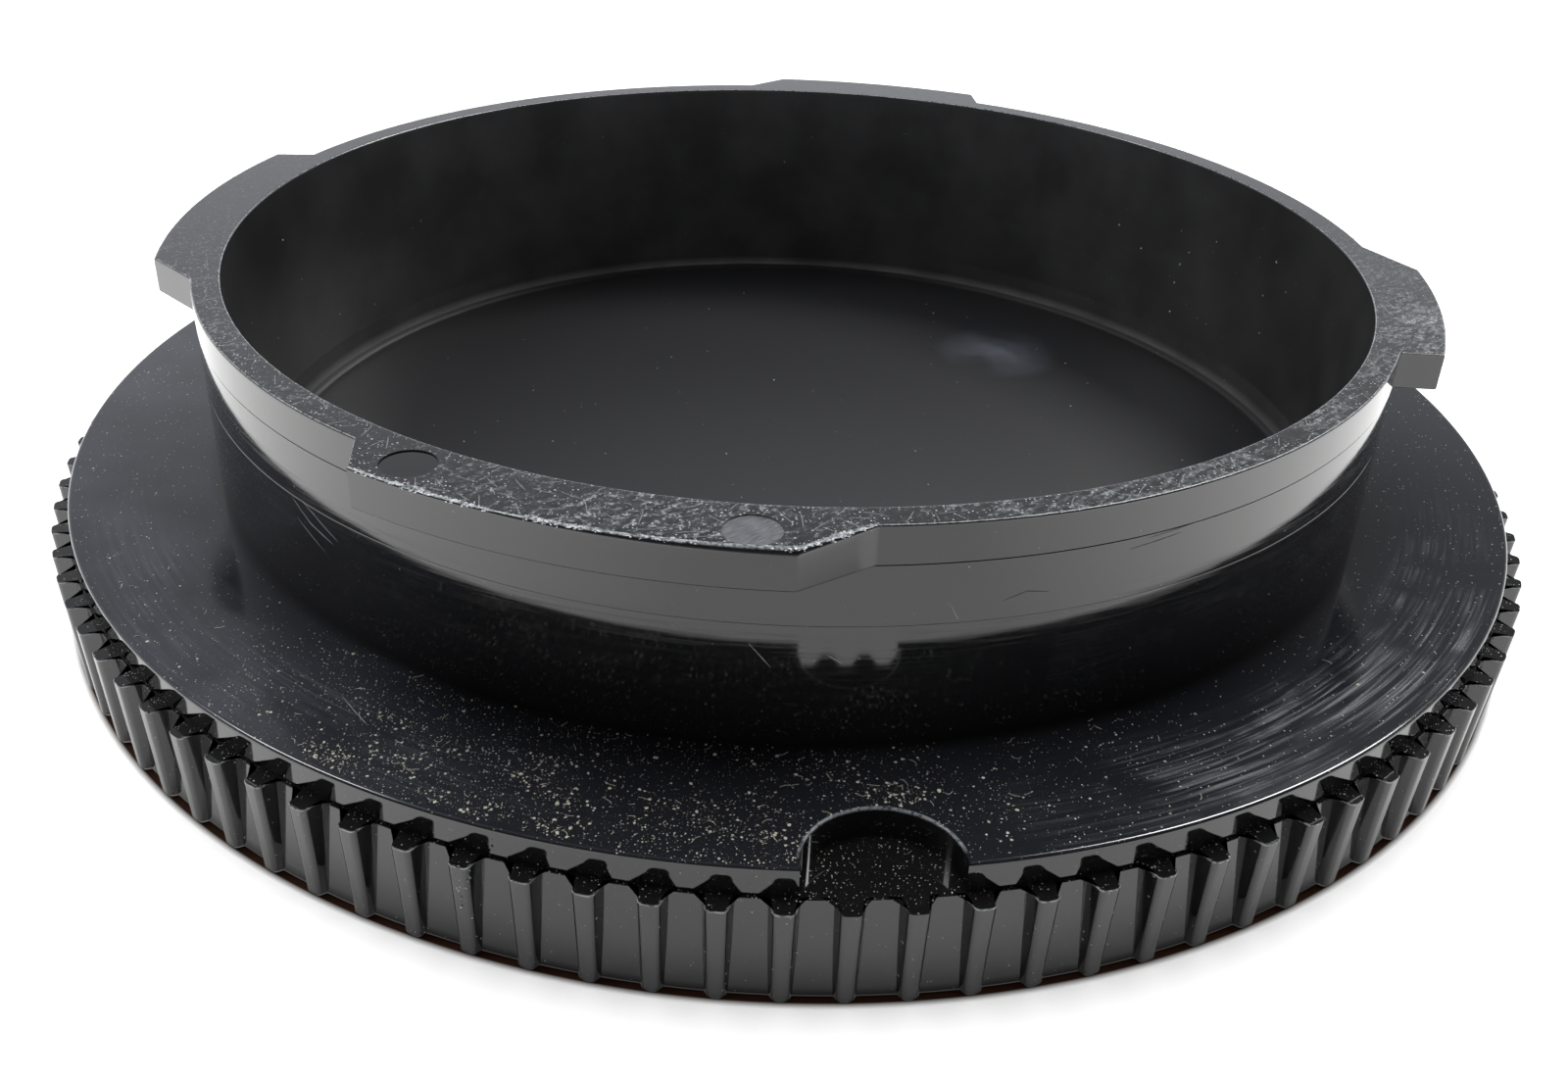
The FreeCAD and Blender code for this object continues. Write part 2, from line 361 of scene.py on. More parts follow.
def rib_outline(s, share, inset, place):
    """A point of the grip's outline at a share of its height, as (outwards, sideways) from the rib's middle.

    Place 0 is the middle of the rib. The next places go round its edge, then come its root and the land."""
    land = s.flange_radius + s.ledge_width + s.land_flare * (1 - share) - inset
    reach_top = CAP_HIGH.x - s.flange_radius
    crest = s.flange_radius + s.rib_reach_foot + (reach_top - s.rib_reach_foot) * share - inset
    half = (s.rib_crest_foot + (s.rib_crest_top - s.rib_crest_foot) * share) / 2 - inset
    radius = s.rib_round - inset
    draft = s.rib_draft_foot + (s.rib_draft_top - s.rib_draft_foot) * share
    turn = math.pi / 2 - draft
    if place == 0:
        return crest, 0.0
    if place <= RIB_ROUND_STEPS + 1:
        angle = turn * (place - 1) / RIB_ROUND_STEPS
        return (crest - radius * (1 - math.cos(angle)),
                half - radius * math.tan(turn / 2) + radius * math.sin(angle))
    if place == RIB_ROUND_STEPS + 2:
        # The root, where the drafted flank meets the land's circle. Three rounds find it closely enough.
        outwards = land
        for _ in range(3):
            sideways = half + math.tan(draft) * (crest - outwards)
            outwards = math.sqrt(land ** 2 - sideways ** 2)
        return outwards, sideways
    angle = math.pi / s.rib_count
    return land * math.cos(angle), land * math.sin(angle)


def straight_radius(angle, start, end):
    """Radius at an angle of the straight line between two points given as (radius, angle)."""
    a = Vector((start[0] * math.cos(start[1]), start[0] * math.sin(start[1])))
    b = Vector((end[0] * math.cos(end[1]), end[0] * math.sin(end[1])))
    normal = Vector((b.y - a.y, a.x - b.x))
    return normal.dot(a) / normal.dot(Vector((math.cos(angle), math.sin(angle))))


def lug_corners(s):
    """For each lug its four corners as (radius, angle), from the stop end to the ramp end."""
    outer = s.collar_radius + s.lug_reach
    inner = s.collar_radius + UPPER_PARTING_SHIFT
    corners = []
    for stop, ramp, stop_spread, ramp_spread in LUGS.values():
        corners.append([(inner, math.radians(stop - stop_spread)), (outer, math.radians(stop)),
                        (outer, math.radians(ramp)), (inner, math.radians(ramp + ramp_spread))])
    return corners


def lug_radius(angle, corners, plain):
    """Radius of the collar's upper part at an angle: the lug's outline on a lug, else the plain collar."""
    for a, b, c, d in corners:
        offset = (angle - a[1]) % FULL_TURN
        span = [p[1] - a[1] for p in (a, b, c, d)]
        if offset > span[3]:
            continue
        turned = a[1] + offset
        if offset < span[1]:
            return straight_radius(turned, a, b)
        if offset > span[2]:
            return straight_radius(turned, c, d)
        return b[0]
    return plain


def bluntness(angle):
    """How many times rounder the upper edge is at an angle: it was rubbed round towards the front lug's ramp."""
    _, ramp, _, spread = (math.radians(value) for value in LUGS["front"])
    offset = (angle - ramp + math.pi) % FULL_TURN - math.pi
    if offset < 0:
        return 1 + BLUNT_GAIN * max(0.0, 1 + offset / BLUNT_REACH)
    return 1 + BLUNT_GAIN * max(0.0, 1 - offset / spread)


def turned_cutter(rows, centre):
    """A closed tool turned about a vertical axis through centre, from rows of (radius, height)."""
    bm = bmesh.new()
    verts = [bm.verts.new(centre + Vector((r, 0, z))) for r, z in rows]
    edges = [bm.edges.new(pair) for pair in zip(verts, verts[1:])]
    bmesh.ops.spin(bm, geom=verts + edges, cent=centre, axis=(0, 0, 1), dvec=(0, 0, 0),
                   angle=FULL_TURN, steps=CUTTER_STEPS, use_merge=True, use_normal_flip=False, use_duplicate=False)
    bmesh.ops.remove_doubles(bm, verts=bm.verts, dist=1e-7)
    bmesh.ops.recalc_face_normals(bm, faces=bm.faces)
    return bm


def notch_centre(s):
    """The middle of the index notch, at the table's height."""
    return Vector((math.cos(NOTCH_ANGLE), math.sin(NOTCH_ANGLE), 0)) * (s.flange_radius - s.notch_set_in)


def cutter_object(s):
    """The tools for the notch and the pin marks as one object."""
    rim_z = CAP_HIGH.z
    clear = 1 * MM
    flare = arc_rows(s.notch_radius + s.notch_round, s.flange_height - s.notch_round, s.notch_round,
                     180, 90, ROUND_STEPS)
    notch_rows = [(0, s.flange_height - s.band_height), (s.notch_radius, s.flange_height - s.band_height)]
    notch_rows += flare + [(flare[-1][0], s.flange_height + clear), (0, s.flange_height + clear)]
    tools = [turned_cutter(notch_rows, notch_centre(s))]
    for outset, degrees in PIN_MARKS:
        angle = math.radians(degrees)
        centre = Vector((math.cos(angle), math.sin(angle), 0)) * (s.collar_radius + outset)
        low = rim_z - s.pin_mark_depth
        rows = [(0, low), (s.pin_mark_radius, low), (s.pin_mark_radius, rim_z + clear), (0, rim_z + clear)]
        tools.append(turned_cutter(rows, centre))
    whole = bmesh.new()
    for tool in tools:
        mesh = mesh_of("cutter", tool)
        whole.from_mesh(mesh)
        bpy.data.meshes.remove(mesh)
    return linked("cutters", mesh_of("cutters", whole))


def sector_mesh(s, rows):
    """One rib's pitch of the cap: the half section is spun, and the rib is drawn out of the grip's rows."""
    pitch = FULL_TURN / s.rib_count
    bm = bmesh.new()
    row_of = bm.verts.layers.int.new("row")
    verts = []
    for index, (r, z, kind) in enumerate(rows):
        vert = bm.verts.new((s.flange_radius if kind == "grip" else r, 0, z))
        vert[row_of] = index
        verts.append(vert)
    edges = [bm.edges.new(pair) for pair in zip(verts, verts[1:])]
    bmesh.ops.rotate(bm, verts=verts, cent=(0, 0, 0), matrix=Matrix.Rotation(-pitch / 2, 3, "Z"))
    bmesh.ops.spin(bm, geom=verts + edges, cent=(0, 0, 0), axis=(0, 0, 1), dvec=(0, 0, 0), angle=pitch,
                   steps=COLUMNS_PER_RIB, use_merge=False, use_normal_flip=False, use_duplicate=False)
    ledge_z = s.flange_height - s.band_height
    for vert in bm.verts:
        inset, z, kind = rows[vert[row_of]]
        if kind == "grip":
            place = round(math.atan2(vert.co.y, vert.co.x) / pitch * COLUMNS_PER_RIB)
            outwards, sideways = rib_outline(s, z / ledge_z, inset, abs(place))
            vert.co = (outwards, math.copysign(sideways, place), z)
    return mesh_of("sector", bm)


def moulding_mesh(s):
    """The whole cap as one closed shell: the sectors in a ring, with the lugs drawn out of its upper rows."""
    rows = half_section(s)
    sector = sector_mesh(s, rows)
    first = NOTCH_ANGLE + math.pi / s.rib_count
    bm = bmesh.new()
    for index in range(s.rib_count):
        turned = sector.copy()
        turned.transform(Matrix.Rotation(first + FULL_TURN * index / s.rib_count, 4, "Z"))
        bm.from_mesh(turned)
        bpy.data.meshes.remove(turned)
    bpy.data.meshes.remove(sector)
    bmesh.ops.remove_doubles(bm, verts=bm.verts, dist=MERGE_DISTANCE)
    row_of = bm.verts.layers.int["row"]
    steps = s.rib_count * COLUMNS_PER_RIB
    step = FULL_TURN / steps
    corners = lug_corners(s)
    plain = s.collar_radius + UPPER_PARTING_SHIFT
    snap = {round((angle - first) / step) % steps: angle for lug in corners for _, angle in lug}
    for vert in bm.verts:
        r, z, kind = rows[vert[row_of]]
        if kind == "lug":
            column = round((math.atan2(vert.co.y, vert.co.x) - first) / step) % steps
            angle = snap.get(column, first + column * step)
            blunt = bluntness(angle) if z > LUG_MIDDLE_Z else 1.0
            radius = lug_radius(angle, corners, plain) + (r - plain) * blunt
            vert.co = (radius * math.cos(angle), radius * math.sin(angle), CAP_HIGH.z + (z - CAP_HIGH.z) * blunt)
    bmesh.ops.recalc_face_normals(bm, faces=bm.faces)
    return mesh_of("cap_moulding", bm)


def applied(made):
    """The mesh of an object with its modifiers applied."""
    graph = bpy.context.evaluated_depsgraph_get()
    return bpy.data.meshes.new_from_object(made.evaluated_get(graph))


def strokes(skin, cell, length, width, bend, share):
    """A mask of thin strokes strewn over the skin, one in each cell at random, bent by so much for each mm."""
    tree = skin.id_data
    cells = add_node(tree, "ShaderNodeTexVoronoi", {
        "voronoi_dimensions": "2D", "Vector": skin, "Scale": 1 / cell})
    away = add_node(tree, "ShaderNodeVectorMath", {
        "operation": "SUBTRACT", 0: skin, 1: cells.outputs["Position"]})
    dice = add_node(tree, "ShaderNodeSeparateColor", {0: cells.outputs["Color"]})
    turned = add_node(tree, "ShaderNodeVectorRotate", {
        "rotation_type": "Z_AXIS", "Vector": away.outputs[0], "Angle": product(dice.outputs[0], FULL_TURN)})
    along, across, _ = add_node(tree, "ShaderNodeSeparateXYZ", {0: turned.outputs[0]}).outputs
    bow = add_node(tree, "ShaderNodeMath", {
        "operation": "MULTIPLY_ADD", 0: product(along, along), 1: bend, 2: across})
    off = add_node(tree, "ShaderNodeMath", {"operation": "ABSOLUTE", 0: bow.outputs[0]}).outputs[0]
    reach = add_node(tree, "ShaderNodeMath", {"operation": "ABSOLUTE", 0: along}).outputs[0]
    kept = add_node(tree, "ShaderNodeMath", {"operation": "LESS_THAN", 0: dice.outputs[1], 1: share}).outputs[0]
    return product(raised(off, width * 0.8, width * 0.2), raised(reach, length * 0.5, length * 0.3), kept)


def grains(skin, cell, largest, share):
    """A mask of small grains, at most one in each cell. Share is a number or a socket: how many cells hold one."""
    tree = skin.id_data
    cells = add_node(tree, "ShaderNodeTexVoronoi", {
        "voronoi_dimensions": "2D", "Vector": skin, "Scale": 1 / cell})
    dice = add_node(tree, "ShaderNodeSeparateColor", {0: cells.outputs["Color"]})
    size = add_node(tree, "ShaderNodeMath", {"operation": "POWER", 0: dice.outputs[0], 1: 2.5})
    radius = add_node(tree, "ShaderNodeMath", {
        "operation": "MULTIPLY_ADD", 0: size.outputs[0], 1: largest / cell, 2: 0.15 * largest / cell}).outputs[0]
    spot = raised(cells.outputs["Distance"], radius, product(radius, 0.6))
    kept = add_node(tree, "ShaderNodeMath", {"operation": "LESS_THAN", 0: dice.outputs[1], 1: share})
    return product(spot, kept.outputs[0])


def window(value, low, high, soft):
    """A mask that is one where the value lies between low and high, with soft sides."""
    return product(raised(value, low - soft, low + soft), raised(value, high + soft, high - soft))


def raised(value, low, high):
    """A soft mask, one where the value is over high and nothing where it is under low."""
    return add_node(value.id_data, "ShaderNodeMapRange", {
        "Value": value, "From Min": low, "From Max": high}).outputs[0]


def spread_of(mask, low, high):
    """A mask turned to run from low to high."""
    return add_node(mask.id_data, "ShaderNodeMapRange", {
        "Value": mask, "To Min": low, "To Max": high}).outputs[0]


def disc(flat, centre, radius):
    """A mask of a disc round a centre given as (radius, angle)."""
    where = (centre[0] / MM * math.cos(centre[1]), centre[0] / MM * math.sin(centre[1]), 0)
    away = add_node(flat.id_data, "ShaderNodeVectorMath", {"operation": "DISTANCE", 0: flat, 1: where})
    return raised(away.outputs["Value"], radius / MM + 0.01, radius / MM - 0.01)


def product(*masks):
    """The product of masks: a socket, then sockets or numbers."""
    whole = masks[0]
    for mask in masks[1:]:
        whole = add_node(whole.id_data, "ShaderNodeMath", {
            "operation": "MULTIPLY", 0: whole, 1: mask}).outputs[0]
    return whole


def total(*masks):
    """The sum of masks, held between nothing and one: a socket, then sockets or numbers."""
    whole = masks[0]
    for mask in masks[1:]:
        whole = add_node(whole.id_data, "ShaderNodeMath", {
            "operation": "ADD", "use_clamp": True, 0: whole, 1: mask}).outputs[0]
    return whole


def painted(under, colour, mask):
    """A colour laid over another through a mask."""
    return add_node(mask.id_data, "ShaderNodeMix", {
        "data_type": "RGBA", "Factor": mask, 6: under, 7: linear(colour)}).outputs[2]


def cap_material(s, c):
    """Black ABS, injection moulded in a polished mould. Its skin is a near-black mirror. Use has left
    hairline scratches, rubbed arcs on the seat, a matt grey rim, pale worn edges, and pale dust in the corners.
    The pale edges are partly a painted highlight, the rubbed arcs partly a painted sheen, and the haze on the
    bore's back wall partly a painted lightening."""
    material, tree = new_material("black_moulded_abs")

    # Places on the cap in millimetres: the radius, the height, and an unrolled skin for walls and flats.
    place = add_node(tree, "ShaderNodeTexCoord", {})
    mm = add_node(tree, "ShaderNodeVectorMath", {
        "operation": "SCALE", 0: place.outputs["Object"], "Scale": 1 / MM}).outputs[0]
    x, y, z = add_node(tree, "ShaderNodeSeparateXYZ", {0: mm}).outputs
    flat = add_node(tree, "ShaderNodeCombineXYZ", {0: x, 1: y}).outputs[0]
    radius = add_node(tree, "ShaderNodeVectorMath", {"operation": "LENGTH", 0: flat}).outputs["Value"]
    around = add_node(tree, "ShaderNodeMath", {"operation": "ARCTAN2", 0: x, 1: product(y, -1.0)}).outputs[0]
    wall = add_node(tree, "ShaderNodeCombineXYZ", {0: product(around, radius), 1: z}).outputs[0]
    normal = add_node(tree, "ShaderNodeSeparateXYZ", {0: place.outputs["Normal"]})
    steep = add_node(tree, "ShaderNodeMath", {"operation": "ABSOLUTE", 0: normal.outputs[2]})
    lying = add_node(tree, "ShaderNodeMath", {"operation": "GREATER_THAN", 0: steep.outputs[0], 1: 0.7}).outputs[0]
    skin = add_node(tree, "ShaderNodeMix", {"data_type": "VECTOR", "Factor": lying, 4: wall, 5: flat}).outputs[1]
    standing = raised(lying, 1.0, 0.0)
    wear_and_highlight = add_node(tree, "ShaderNodeAttribute", {"attribute_name": "wear_and_highlight"}).outputs["Fac"]

    # The cap's zones, in millimetres.
    rim_z = CAP_HIGH.z / MM
    seat_z = s.flange_height / MM
    ledge_z = (s.flange_height - s.band_height) / MM
    bore = (s.collar_radius - s.collar_wall) / MM
    collar = s.collar_radius / MM
    flange = s.flange_radius / MM
    top = window(z, rim_z - 0.02, rim_z + 1, 0.015)
    top_and_marks = window(z, rim_z - 0.06, rim_z + 1, 0.01)
    inside = product(window(radius, -1, bore + 0.02, 0.02), window(z, 2.0, rim_z - 0.05, 0.05))
    bottom = product(inside, lying)
    seat = product(window(z, seat_z - 0.05, seat_z + 0.05, 0.03),
                   window(radius, collar + 0.3, flange + 1, 0.2), lying)
    notch = product(window(z, ledge_z - 0.02, ledge_z + 0.02, 0.02),
                    window(radius, collar, flange + 0.3, 0.02), lying)
    grip = product(window(radius, flange - 0.05, flange + 2, 0.02),
                   window(z, -1, seat_z - 0.15, 0.02))

    # A thin film of haze, mostly inside, and on the seat at the left. Its blotches are about 3 mm wide.
    cloud = add_node(tree, "ShaderNodeTexNoise", {"Vector": mm, "Scale": 0.3, "Detail": 3.0}).outputs["Fac"]
    broad = raised(cloud, 0.35, 0.68)
    left = window(x, -60, -14, 6)
    front = window(y, -40, -9, 6)
    floor_z = s.floor_thickness / MM
    corner = product(inside, window(z, floor_z + 0.03, floor_z + 1.2, 0.05))
    # A pale soft spot on the floor, laid in with the film.
    spot_place = add_node(tree, "ShaderNodeVectorMath", {"operation": "DISTANCE", 0: flat, 1: PALE_SPOT})
    spot = product(bottom, raised(spot_place.outputs["Value"], 3.2, 0.4), broad)
    film = total(product(bottom, spread_of(front, 0.03, 0.12)), product(spot, 0.7),
                 product(seat, left, spread_of(broad, 0.06, 0.30)), product(seat, 0.13))

    # Rubbed arcs on the seat, from the mount's face: streaks about 0.1 mm wide that run round the axis.
    # Their pale scuff colour is partly scuffing and partly a painted sheen of the light that the rough plastic
    # scatters.
    facing = add_node(tree, "ShaderNodeVectorMath", {"operation": "NORMALIZE", 0: flat}).outputs[0]
    climb = add_node(tree, "ShaderNodeMath", {"operation": "ADD", 0: radius, 1: z}).outputs[0]
    rise = add_node(tree, "ShaderNodeCombineXYZ", {2: product(climb, 9.0)}).outputs[0]
    swept = add_node(tree, "ShaderNodeVectorMath", {
        "operation": "MULTIPLY_ADD", 0: facing, 1: (7.0, 7.0, 0), 2: rise}).outputs[0]
    arcs = add_node(tree, "ShaderNodeTexNoise", {"Vector": swept, "Scale": 1.0, "Detail": 4.0}).outputs["Fac"]
    outer = window(radius, flange - 3.6, flange - 0.05, 0.9)
    sides = total(window(x, 5, 24, 2.5), product(window(x, -27, -9, 3), 0.5))
    rubbed = product(raised(arcs, 0.42, 0.66), raised(cloud, 0.38, 0.55), outer, sides, seat,
                     window(y, -40, -9, 4))

    wall_streaks = product(
        raised(arcs, 0.46, 0.62), window(radius, collar - 0.1, collar + 0.1, 0.02),
        window(z, seat_z + 1.0, rim_z - 2.2, 0.8), standing)

    # The rim's top is rubbed matt in slanting smears 0.2 mm wide, with specks and long hairline scratches.
    # The brighter pin mark has finer streaks, 0.05 mm wide.
    fine = add_node(tree, "ShaderNodeTexNoise", {"Vector": mm, "Scale": 8.0, "Detail": 3.0})
    shift = add_node(tree, "ShaderNodeVectorMath", {
        "operation": "MULTIPLY_ADD", 0: fine.outputs["Color"], 1: (0.035, 0.035, 0), 2: skin}).outputs[0]
    slanted = add_node(tree, "ShaderNodeMapping", {
        "vector_type": "TEXTURE", "Vector": flat, "Rotation": (0, 0, math.radians(35)),
        "Scale": (0.55, 0.22, 1)}).outputs[0]
    smear = add_node(tree, "ShaderNodeTexNoise", {"Vector": slanted, "Scale": 1.0, "Detail": 4.0}).outputs["Fac"]
    brushed = add_node(tree, "ShaderNodeMapping", {
        "vector_type": "TEXTURE", "Vector": flat, "Rotation": (0, 0, math.radians(35)),
        "Scale": (0.4, 0.05, 1)}).outputs[0]
    lines = add_node(tree, "ShaderNodeTexNoise", {"Vector": brushed, "Scale": 1.0, "Detail": 2.0}).outputs["Fac"]
    marks = [product(top_and_marks, disc(
        flat, (s.collar_radius + outset, math.radians(degrees)), s.pin_mark_radius))
        for outset, degrees in PIN_MARKS]
    plain_mark, bright_mark = marks
    rubbed_top = product(top, raised(plain_mark, 1.0, 0.0),
                         spread_of(window(y, -40, -3, 6), 0.22, 1.0))
    patch_place = add_node(tree, "ShaderNodeVectorMath", {"operation": "DISTANCE", 0: flat, 1: RUBBED_PATCH})
    patch = product(top, raised(patch_place.outputs["Value"], 1.6, 0.3))
    mottle = total(product(rubbed_top, raised(smear, 0.40, 0.62), spread_of(
        raised(cloud, 0.40, 0.58), 0.15, 1.0)), product(patch, raised(smear, 0.3, 0.6)))
    speck = product(rubbed_top, grains(shift, cell=0.13, largest=0.034, share=0.5))
    hair = strokes(shift, cell=0.75, length=0.9, width=0.024, bend=0.12, share=0.8)
    scored = product(rubbed_top, total(product(hair, 0.6), product(mottle, raised(
        fine.outputs["Fac"], 0.52, 0.64), 0.8)))

    # Worn edges: the rounded rows that carry the wear attribute, and the notch's upper edge at its back. Their
    # pale colour is partly worn plastic and partly a painted highlight.
    notch_place = (s.flange_radius - s.notch_set_in, NOTCH_ANGLE)
    notch_edge = product(disc(flat, notch_place, s.notch_radius + 0.09 * MM),
                         raised(disc(flat, notch_place, s.notch_radius), 1.0, 0.0),
                         window(z, seat_z - 0.08, seat_z + 0.1, 0.02),
                         window(radius, collar, flange - 0.6, 0.2))
    edges = product(total(wear_and_highlight, product(notch_edge, 0.6)),
                    raised(fine.outputs["Fac"], 0.30, 0.56))
    lug_face = product(window(radius, collar + 0.3, flange - 2, 0.1),
                       window(z, rim_z - 1.36, rim_z - 0.05, 0.02), standing)

    # Dust: fine grains, thick on the front of the seat and in the notch.
    near = window(y, -40, -17, 4)
    west = window(x, -21, 5, 6)
    clumped = raised(fine.outputs["Fac"], 0.42, 0.62)
    density = total(product(seat, near, west, clumped, spread_of(broad, 0.3, 1.0)),
                    product(seat, spread_of(clumped, 0.04, 0.12)), product(notch, 0.4),
                    product(grip, spread_of(lying, 0.05, 0.18)), 0.006)
    dust = product(grains(shift, cell=0.10, largest=0.030, share=density),
                   spread_of(broad, 0.4, 0.9))

    # The layers of colour from the clean plastic up, and then how matt each of them is.
    colour = painted(linear(c.plastic), c.film, film)
    # Haze on the bore's wall: dust, and a painted lightening, thicker on the back wall than on the sides, which
    # the lamps' gloss already lightens.
    colour = painted(colour, c.haze, product(
        inside, standing, spread_of(broad, 0.5, 1.0),
        spread_of(window(y, 10, 40, 6), 0.4, 1.0)))
    # In the rubbed arcs the scuff colour is partly scuffing and partly a painted sheen.
    colour = painted(colour, c.scuff, total(
        product(mottle, 0.10), product(rubbed, 0.30),
        product(bright_mark, spread_of(raised(lines, 0.38, 0.62), 0.35, 1.0))))
    # The pale edges are partly worn plastic and partly a painted highlight along the rounded edges.
    colour = painted(colour, c.scratch, total(
        product(scored, 0.65), speck, product(edges, 0.75)))
    colour = painted(colour, c.dust, dust)
    soft = total(product(inside, 0.28), product(corner, 0.7),
                 product(bright_mark, 0.3), product(film, 0.25), product(top, 0.17),
                 product(mottle, 0.24), product(rubbed, 0.25), product(scored, 0.2),
                 product(edges, 0.3), product(lug_face, 0.20), product(wall_streaks, 0.09),
                 product(fine.outputs["Fac"], 0.04), dust)
    bump = add_node(tree, "ShaderNodeBump", {
        "Strength": 0.35, "Distance": 0.012 * MM, "Height": product(fine.outputs["Fac"], rubbed_top)})
    # The IOR of ABS is 1.54. It is raised to mirror the paper, and the cap itself, as strongly as the real one.
    shader = add_node(tree, "ShaderNodeBsdfPrincipled", {
        "Base Color": colour, "Roughness": spread_of(soft, 0.05, 0.85), "IOR": 1.75,
        "Normal": bump.outputs[0]})
    add_node(tree, "ShaderNodeOutputMaterial", {"Surface": shader.outputs[0]})
    return material


def mark_wear_and_highlight(mesh, s):
    """Writes the wear attribute: one on the rounded edges of the rim and of the grip's ribs, else nothing.
    The material paints these edges pale, partly as worn plastic and partly as a painted highlight.
    The notch's edge is left to the material, because the faces beside it are wide."""
    wear_and_highlight = mesh.attributes.new("wear_and_highlight", "FLOAT", "POINT")
    ledge_z = s.flange_height - s.band_height
    for vert in mesh.vertices:
        height = vert.co.z
        reach = vert.co.xy.length
        if height > LUG_MIDDLE_Z:
            worn = 0.75 < vert.normal.z < 0.99
        else:
            worn = (abs(height - ledge_z) < 2 * MICRO_BEVEL and vert.normal.z < 0.9
                    and reach > s.flange_radius + s.rib_reach_foot - s.rib_round / 2)
        far = (vert.co.xy - notch_centre(s).xy).length > s.notch_radius + 2 * s.notch_round
        wear_and_highlight.data[vert.index].value = 1.0 if worn and far else 0.0


class CAP_OT_moulding(bpy.types.Operator):
    """Builds the cap's moulding and lets it stand for the solid part"""

    bl_idname = "body_cap.moulding"
    bl_label = "Moulding"

    def execute(self, context):
        s = context.scene.cap_sizes
        raw = linked("raw", moulding_mesh(s))
        cutters = cutter_object(s)
        # The modifiers overlook faces under a fixed size, so they work on the cap a thousand times as large.
        for made in (raw, cutters):
            made.data.transform(Matrix.Scale(1 / MM, 4))
        raw.data.shade_smooth()
        cut = raw.modifiers.new("cut", "BOOLEAN")
        cut.operation = "DIFFERENCE"
        cut.solver = "EXACT"
        cut.object = cutters
        raw.data = applied(raw)
        raw.modifiers.clear()
        raw.data.set_sharp_from_angle(angle=SHARP_ANGLE)
        weigh = raw.modifiers.new("even_normals", "WEIGHTED_NORMAL")
        weigh.keep_sharp = True
        mesh = applied(raw)
        mesh.transform(Matrix.Scale(MM, 4))
        mesh.name = "cap_moulding"
        mark_wear_and_highlight(mesh, s)
        cap = linked("cap_moulding", mesh)
        bpy.data.objects.remove(raw)
        bpy.data.objects.remove(cutters)
        mesh.materials.clear()
        mesh.materials.append(cap_material(s, context.scene.cap_colours))
        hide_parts(CAD_NODE)
        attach(cap, "root")
        return {"FINISHED"}


# Small pieces that use has left on the cap


def torn_material(c):
    """Torn ABS, frayed along a moulded edge by the mount. The stretched plastic turned whitish and matt, in
    patches about 0.2 mm wide."""
    material, tree = new_material("torn_whitened_abs")
    place = add_node(tree, "ShaderNodeTexCoord", {})
    mm = add_node(tree, "ShaderNodeVectorMath", {
        "operation": "SCALE", 0: place.outputs["Object"], "Scale": 1 / MM}).outputs[0]
    patchy = add_node(tree, "ShaderNodeTexNoise", {"Vector": mm, "Scale": 6.0, "Detail": 2.0}).outputs["Fac"]
    colour = painted(linear(c.scuff), c.torn, raised(patchy, 0.35, 0.6))
    shader = add_node(tree, "ShaderNodeBsdfPrincipled", {"Base Color": colour, "Roughness": 0.45})
    add_node(tree, "ShaderNodeOutputMaterial", {"Surface": shader.outputs[0]})
    return material


def plain_material(name, colour, roughness):
    """House dust and lint, or a groove cut in the plastic: one colour, and how matt it is."""
    material, tree = new_material(name)
    shader = add_node(tree, "ShaderNodeBsdfPrincipled", {"Base Color": linear(colour), "Roughness": roughness})
    add_node(tree, "ShaderNodeOutputMaterial", {"Surface": shader.outputs[0]})
    return material


def on_cap(radius, degrees, height):
    """A point from its radius and height in millimetres and its angle about the axis."""
    angle = math.radians(degrees)
    return Vector((radius * math.cos(angle), radius * math.sin(angle), height)) * MM


def add_ribbon(bm, points, sides, widths):
    """A strip of faces along points. Sides are the directions across it, and widths its full widths."""
    rails = [(bm.verts.new(p - side * width / 2), bm.verts.new(p + side * width / 2))
             for p, side, width in zip(points, sides, widths)]
    for a, b in zip(rails, rails[1:]):
        bm.faces.new((a[0], a[1], b[1], b[0]))


def add_fibre(bm, chance, start, up, length, thickness):
    """A curled fibre that lies on a surface, as a thin tube of three sides."""
    along = up.orthogonal().normalized()
    along.rotate(Quaternion(up, chance.uniform(0, FULL_TURN)))
    curl = chance.gauss(0, 0.16)
    point = start + up * thickness
    rings = []
    for _ in range(FIBRE_STEPS + 1):
        across = up.cross(along).normalized()
        ring = [bm.verts.new(point + (across * math.cos(turn) + up * math.sin(turn)) * thickness / 2)
                for turn in (0.5, 2.6, 4.7)]
        rings.append(ring)
        along.rotate(Quaternion(up, curl + chance.gauss(0, 0.25)))
        point = point + along * length / FIBRE_STEPS + up * chance.uniform(0, 0.1) * thickness
    for a, b in zip(rings, rings[1:]):
        for side in range(3):
            bm.faces.new((a[side], a[side - 1], b[side - 1], b[side]))


def add_flake(bm, chance, place, up, size):
    """A flat crumb with four to six uneven corners."""
    along = up.orthogonal().normalized()
    across = up.cross(along)
    count = chance.randint(4, 6)
    first = chance.uniform(0, FULL_TURN)
    ring = []
    for index in range(count):
        turn = first + FULL_TURN * index / count
        reach = size * chance.uniform(0.25, 0.6)
        out = (along * math.cos(turn) + across * math.sin(turn)) * reach
        ring.append(bm.verts.new(place + out + up * 0.004 * MM))
    peak = bm.verts.new(place + up * size * chance.uniform(0.15, 0.4))
    for index in range(count):
        bm.faces.new((ring[index - 1], ring[index], peak))


def add_piece(name, bm, material):
    """Links a small piece that rides with the cap."""
    piece = linked(name, mesh_of(name, bm))
    piece.data.materials.append(material)
    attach(piece, "root")


def edge_point(s, degrees, inset):
    """A point on the front lug's upper outer edge at an angle, so far inside it."""
    angle = math.radians(degrees)
    radius = lug_radius(angle, lug_corners(s), s.collar_radius + UPPER_PARTING_SHIFT) - inset
    return Vector((radius * math.cos(angle), radius * math.sin(angle), CAP_HIGH.z))


